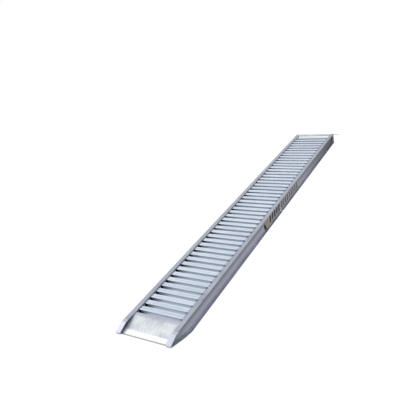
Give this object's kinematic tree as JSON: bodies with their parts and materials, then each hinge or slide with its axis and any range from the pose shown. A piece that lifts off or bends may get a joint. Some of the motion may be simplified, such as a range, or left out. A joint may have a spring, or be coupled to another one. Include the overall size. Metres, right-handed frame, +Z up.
{
  "type": "folding loading ramp",
  "caption": "Narrow aluminium wheel ramp with channel cross planks between two flanged rails, a tailgate lip, a tapered foot and a mid-length fold hinge.",
  "frame": {"origin": "on the floor under the middle of the unfolded ramp's outer box", "axes": "X across the ramp, +Y along it from the foot towards the tailgate lip, +Z up through the deck"},
  "size_m": [0.29, 2.432, 0.071],
  "materials": {
    "rail_aluminium": "mill finish, lightly worn",
    "plank_aluminium": "ribbed mill finish",
    "plate_aluminium": "scuffed mill finish",
    "hinge_steel": "zinc plated"
  },
  "bodies": {
    "lower_half": {"lower_rail_left": "rail_aluminium", "lower_rail_right": "rail_aluminium", "apron_plate": "plate_aluminium", "lower_hinge_pin_left": "hinge_steel", "lower_hinge_pin_right": "hinge_steel", "plank_01": "plank_aluminium", "plank_02": "plank_aluminium", "plank_03": "plank_aluminium", "plank_04": "plank_aluminium", "plank_05": "plank_aluminium", "plank_06": "plank_aluminium", "plank_07": "plank_aluminium", "plank_08": "plank_aluminium", "plank_09": "plank_aluminium", "plank_10": "plank_aluminium", "plank_11": "plank_aluminium", "plank_12": "plank_aluminium", "plank_13": "plank_aluminium", "plank_14": "plank_aluminium", "plank_15": "plank_aluminium", "plank_16": "plank_aluminium", "plank_17": "plank_aluminium", "plank_18": "plank_aluminium", "plank_19": "plank_aluminium", "plank_20": "plank_aluminium", "plank_21": "plank_aluminium", "plank_22": "plank_aluminium", "plank_23": "plank_aluminium", "plank_24": "plank_aluminium"},
    "hinge_links": {"hinge_link_left": "hinge_steel", "hinge_link_right": "hinge_steel"},
    "upper_half": {"upper_rail_left": "rail_aluminium", "upper_rail_right": "rail_aluminium", "tailgate_lip": "plate_aluminium", "upper_hinge_pin_left": "hinge_steel", "upper_hinge_pin_right": "hinge_steel", "plank_25": "plank_aluminium", "plank_26": "plank_aluminium", "plank_27": "plank_aluminium", "plank_28": "plank_aluminium", "plank_29": "plank_aluminium", "plank_30": "plank_aluminium", "plank_31": "plank_aluminium", "plank_32": "plank_aluminium", "plank_33": "plank_aluminium", "plank_34": "plank_aluminium", "plank_35": "plank_aluminium", "plank_36": "plank_aluminium", "plank_37": "plank_aluminium", "plank_38": "plank_aluminium", "plank_39": "plank_aluminium", "plank_40": "plank_aluminium", "plank_41": "plank_aluminium", "plank_42": "plank_aluminium", "plank_43": "plank_aluminium", "plank_44": "plank_aluminium", "plank_45": "plank_aluminium", "plank_46": "plank_aluminium", "plank_47": "plank_aluminium"}
  },
  "joints": [
    {"name": "lower_pivot", "type": "hinge", "parent": "lower_half", "child": "hinge_links", "pos_m": [0, -0.02096, 0.013], "axis": [-1, 0, 0], "range_deg": [0, 90]},
    {"name": "upper_pivot", "type": "hinge", "parent": "hinge_links", "child": "upper_half", "pos_m": [0, 0.01904, 0.013], "axis": [-1, 0, 0], "range_deg": [0, 90]}
  ]
}
